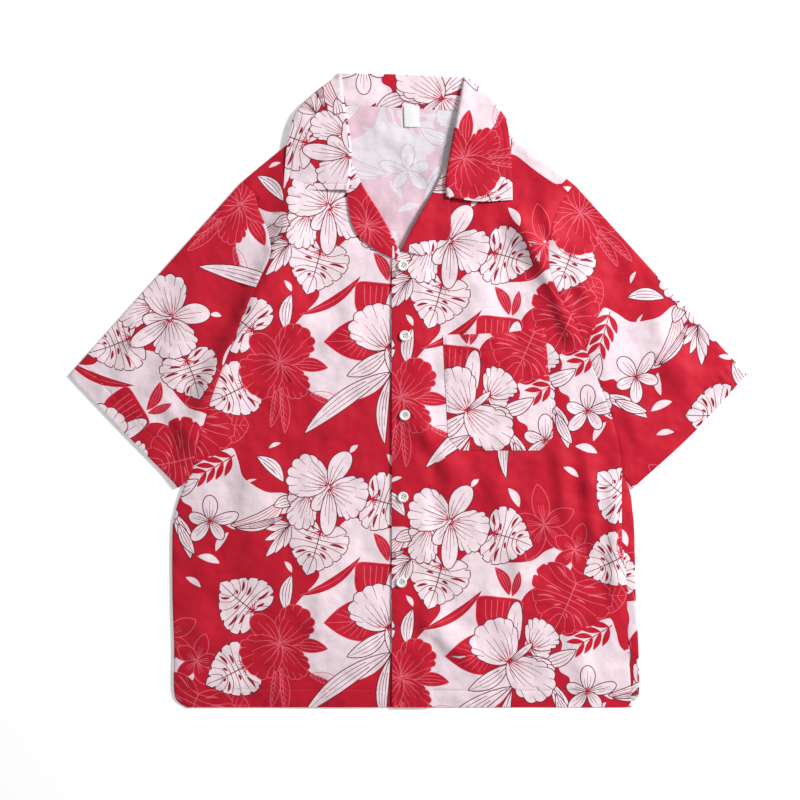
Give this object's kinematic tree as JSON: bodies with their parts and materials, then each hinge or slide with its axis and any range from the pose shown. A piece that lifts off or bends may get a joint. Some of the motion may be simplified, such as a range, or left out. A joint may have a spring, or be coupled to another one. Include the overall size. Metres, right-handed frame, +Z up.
{
  "type": "hawaiian shirt",
  "caption": "Short-sleeved printed shirt with a camp collar, lapels, chest pocket and buttoned front, laid flat on its back.",
  "frame": {"origin": "middle of the shirt's outline, on the surface that it lies on", "axes": "+Z up from the surface, +Y towards the collar, +X across to the wearer's left sleeve"},
  "size_m": [0.8108, 0.7591, 0.0109],
  "materials": {
    "printed_cloth": "smooth printed plain-weave viscose, red with white hibiscus, leaves and fine line work, soft sheen",
    "label_tape": "white woven tape, blank",
    "button_resin": "white polyester resin, semi-gloss"
  },
  "bodies": {
    "root": {"back": "printed_cloth", "front_right": "printed_cloth", "front_left": "printed_cloth", "sleeve_right": "printed_cloth", "sleeve_left": "printed_cloth", "collar": "printed_cloth", "pocket": "printed_cloth", "neck_label": "label_tape", "button_1": "button_resin", "button_2": "button_resin", "button_3": "button_resin", "button_4": "button_resin", "button_5": "button_resin"}
  },
  "joints": []
}
